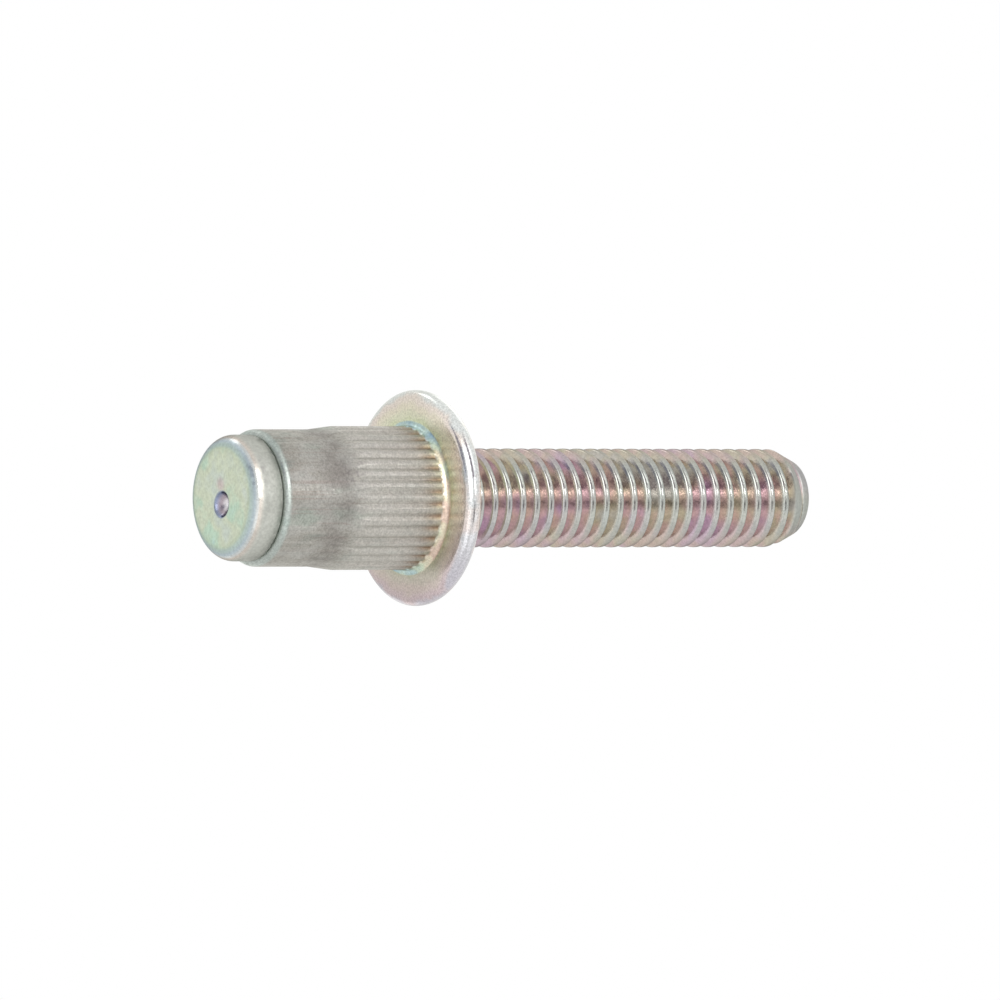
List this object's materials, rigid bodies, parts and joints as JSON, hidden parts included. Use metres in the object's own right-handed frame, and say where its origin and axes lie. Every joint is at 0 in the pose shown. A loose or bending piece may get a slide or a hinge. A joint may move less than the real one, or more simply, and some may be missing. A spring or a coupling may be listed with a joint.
{
  "type": "threaded rivet stud",
  "caption": "Blind rivet stud: a flanged, knurled steel sleeve on a headed M6 stud with a long rolled thread, zinc plated, before setting.",
  "frame": {"origin": "centre of the flange's seat, the annular face that bears on the panel", "axes": "+Z along the stud, from the blind head to the threaded tip; X and Y are any two directions square to it"},
  "size_m": [0.0128, 0.0128, 0.0408],
  "materials": {
    "sleeve_zinc": "bright zinc plate with an iridescent passivation, satin",
    "stud_zinc": "bright zinc plate with an iridescent passivation, glossy on the thread crests"
  },
  "bodies": {
    "root": {"sleeve": "sleeve_zinc", "stud": "stud_zinc"}
  },
  "joints": []
}
